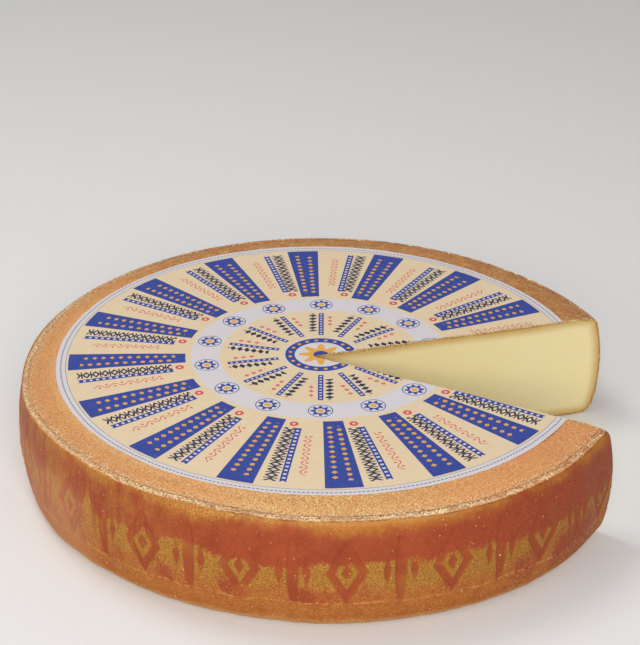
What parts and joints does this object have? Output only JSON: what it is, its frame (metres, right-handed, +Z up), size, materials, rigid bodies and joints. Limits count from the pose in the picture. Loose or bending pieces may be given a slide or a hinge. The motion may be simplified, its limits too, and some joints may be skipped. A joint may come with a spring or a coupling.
{
  "type": "hard cheese wheel with a wedge cut out",
  "caption": "Large round wheel of hard cooked cheese with a brown rind, a wedge cut out down to the table, and a thin printed paper label on its top.",
  "frame": {"origin": "on the wheel's axis, in the plane of its flat underside", "axes": "+Z up along the wheel's axis; the gap left by the wedge opens towards +X"},
  "size_m": [0.5848, 0.5999, 0.1123],
  "materials": {
    "rind": "satin",
    "paste": "matte",
    "label_paper": "matte"
  },
  "bodies": {
    "root": {"cheese": "rind", "label": "label_paper"}
  },
  "joints": []
}
